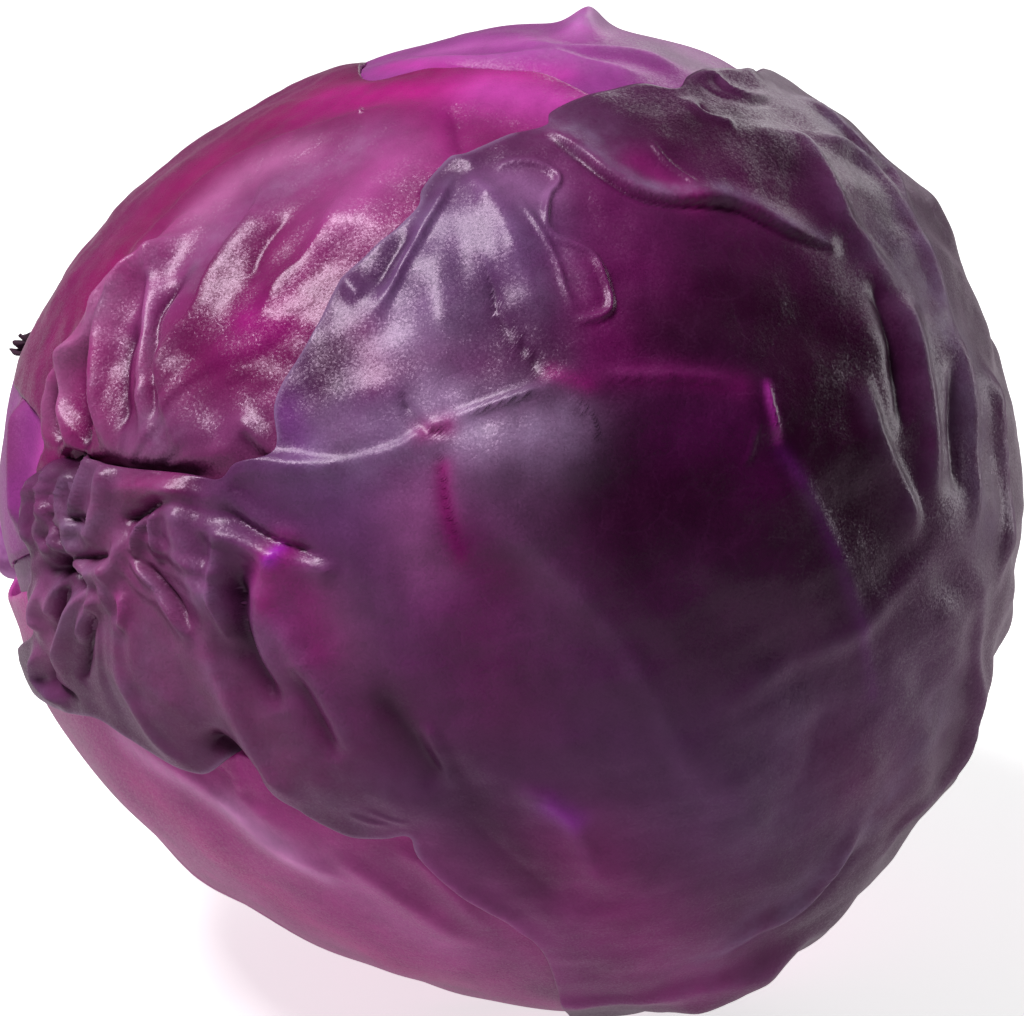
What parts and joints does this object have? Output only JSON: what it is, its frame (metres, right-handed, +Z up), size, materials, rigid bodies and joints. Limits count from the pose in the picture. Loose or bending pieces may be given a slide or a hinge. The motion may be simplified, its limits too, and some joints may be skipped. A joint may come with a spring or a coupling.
{
  "type": "red cabbage head",
  "caption": "Whole head of red cabbage lying on its side, its wrapper leaves lapped over a tight heart, with a cut stalk and trimmed leaf stumps at one end.",
  "frame": {"origin": "middle of the small flat spot that the head rests on", "axes": "+Z up; +X from the stalk end to the crown; the fairest side faces -Y and a little upwards"},
  "size_m": [0.1657, 0.1564, 0.1529],
  "materials": {
    "wrapper_leaf": "waxy, with a grey bloom",
    "magenta_leaf": "waxy satin",
    "inner_leaf": "waxy satin",
    "cut_stalk": "matt, cut across the fibre",
    "leaf_rib": "waxy satin, cut across"
  },
  "bodies": {
    "root": {"heart": "inner_leaf", "front_leaf": "wrapper_leaf", "back_leaf": "wrapper_leaf", "upper_leaf": "magenta_leaf", "lower_leaf": "magenta_leaf", "top_leaf": "inner_leaf", "stalk": "cut_stalk", "leaf_stump_1": "leaf_rib", "leaf_stump_2": "leaf_rib", "leaf_stump_3": "leaf_rib", "leaf_stump_4": "leaf_rib"}
  },
  "joints": []
}
